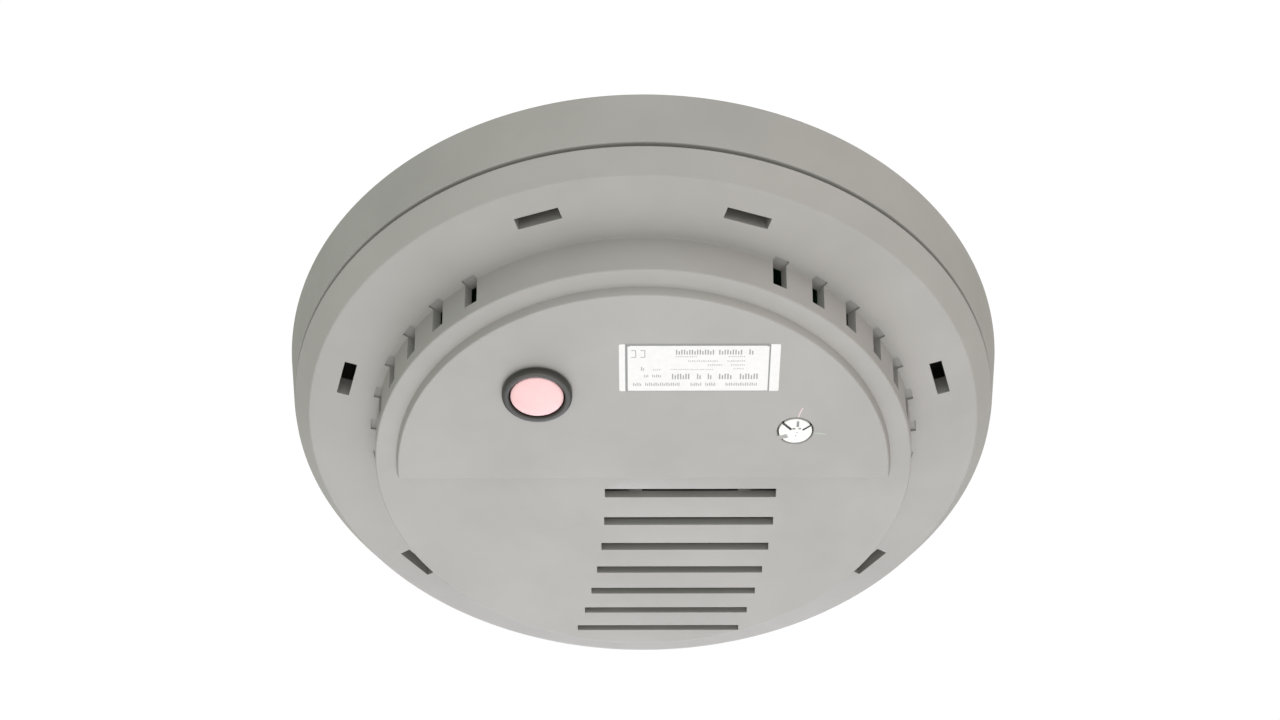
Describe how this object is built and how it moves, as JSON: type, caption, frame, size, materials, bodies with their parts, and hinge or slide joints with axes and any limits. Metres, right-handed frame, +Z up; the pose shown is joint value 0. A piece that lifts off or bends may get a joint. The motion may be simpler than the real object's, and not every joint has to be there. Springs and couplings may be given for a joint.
{
  "type": "smoke detector",
  "caption": "Round ceiling smoke alarm: stepped drum on a twist-lock base, slotted smoke inlets, sounder grille, test button with ring, selector dial and label.",
  "frame": {"origin": "centre of the mounting plate's flat back face, which lies on the ceiling", "axes": "+Z points up into the ceiling, along the round body's axis; the test button, label and selector are on the -Y side, the sounder grille is on the +Y side; +X is to the right in a view from -Y"},
  "size_m": [0.144, 0.144, 0.0309],
  "materials": {
    "housing": "fine matte moulded texture, light warm grey",
    "inner_plastic": "matte moulded",
    "black_trim": "satin black-green",
    "pink_lens": "translucent satin pink",
    "clear_plastic": "clear acrylic",
    "white_plastic": "satin white",
    "label": "printed polyester-faced paper",
    "circuit_board": "solder-masked laminate",
    "chip": "moulded epoxy",
    "sleeve": "shrink sleeve",
    "ferrite": "sintered ferrite",
    "ceramic": "fired, silvered",
    "steel": "zinc or nickel plated",
    "brass": "rolled",
    "cell_wrap": "printed film over a steel can"
  },
  "bodies": {
    "ceiling_plate": {"mounting_plate": "inner_plastic"},
    "detector_head": {"base_housing": "housing", "front_cover": "housing", "cover_screw_1": "steel", "cover_screw_2": "steel", "cover_screw_3": "steel", "cover_screw_4": "steel", "board_screw_1": "steel", "board_screw_2": "steel", "board_screw_3": "steel", "board_screw_4": "steel", "rating_label": "label", "button_bezel": "black_trim", "bezel_nut": "black_trim", "button_spring": "steel", "switch_body": "chip", "status_led": "white_plastic", "light_pipe": "clear_plastic", "selector_body": "chip", "sounder_horn": "black_trim", "sounder_retainer": "black_trim", "piezo_disc": "brass", "piezo_ceramic": "ceramic", "sounder_contact_1": "brass", "sounder_contact_2": "brass", "sounder_contact_3": "brass", "chamber_base": "black_trim", "chamber_cover": "black_trim", "insect_screen": "steel", "ir_emitter": "clear_plastic", "photodiode": "chip", "detector_shield": "steel", "circuit_board": "circuit_board", "controller_chip": "chip", "capacitor_1": "sleeve", "capacitor_2": "sleeve", "sounder_coil": "ferrite", "lithium_cell": "cell_wrap", "battery_contact_plus": "steel", "battery_contact_minus": "steel"},
    "test_button": {"test_button": "pink_lens"},
    "switch_plunger": {"switch_plunger": "white_plastic"},
    "selector_dial": {"selector_dial": "white_plastic"}
  },
  "joints": [
    {"name": "head_twist", "type": "hinge", "parent": "ceiling_plate", "child": "detector_head", "pos_m": [0, 0, 0], "axis": [0, 0, -1], "range_deg": [0, 15]},
    {"name": "test_button_press", "type": "slide", "parent": "detector_head", "child": "test_button", "axis": [0, 0, 1], "range_m": [0, 0.001], "stiffness_N_per_m": 900, "springref_m": -0.002, "deforming": ["button_spring"]},
    {"name": "switch_plunger_travel", "type": "slide", "parent": "detector_head", "child": "switch_plunger", "axis": [0, 0, 1], "range_m": [0, 0.001]},
    {"name": "selector_turn", "type": "hinge", "parent": "detector_head", "child": "selector_dial", "pos_m": [0.0292, -0.0133, -0.0293], "axis": [0, 0, -1], "range_deg": [0, 90]}
  ],
  "couplings": [
    {"joint": "switch_plunger_travel", "follows": "test_button_press", "ratio": 1}
  ]
}
